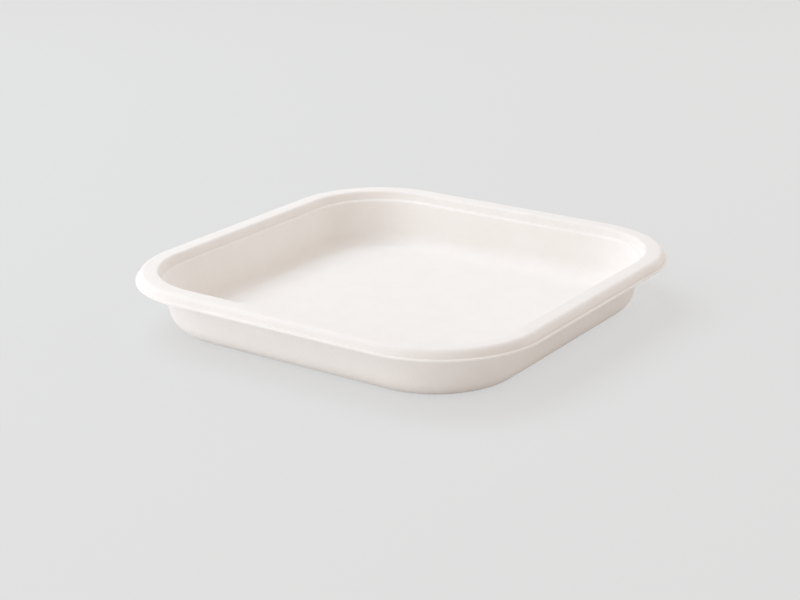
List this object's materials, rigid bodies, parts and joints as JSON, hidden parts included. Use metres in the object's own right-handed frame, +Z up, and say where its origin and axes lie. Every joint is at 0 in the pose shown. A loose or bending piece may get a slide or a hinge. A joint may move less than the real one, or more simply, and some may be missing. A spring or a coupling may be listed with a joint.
{
  "type": "square plate",
  "caption": "Deep square plate pressed from fibre pulp, with round corners, a turned-down rim, a stacking ledge inside the mouth and steep walls curving into a flat floor.",
  "frame": {"origin": "middle of the flat underside, on the table", "axes": "+Z up out of the food side, X and Y along the plate's sides"},
  "size_m": [0.2, 0.2, 0.0268],
  "materials": {
    "pulp": "matte, smooth pressed fibre"
  },
  "bodies": {
    "root": {"plate": "pulp"}
  },
  "joints": []
}
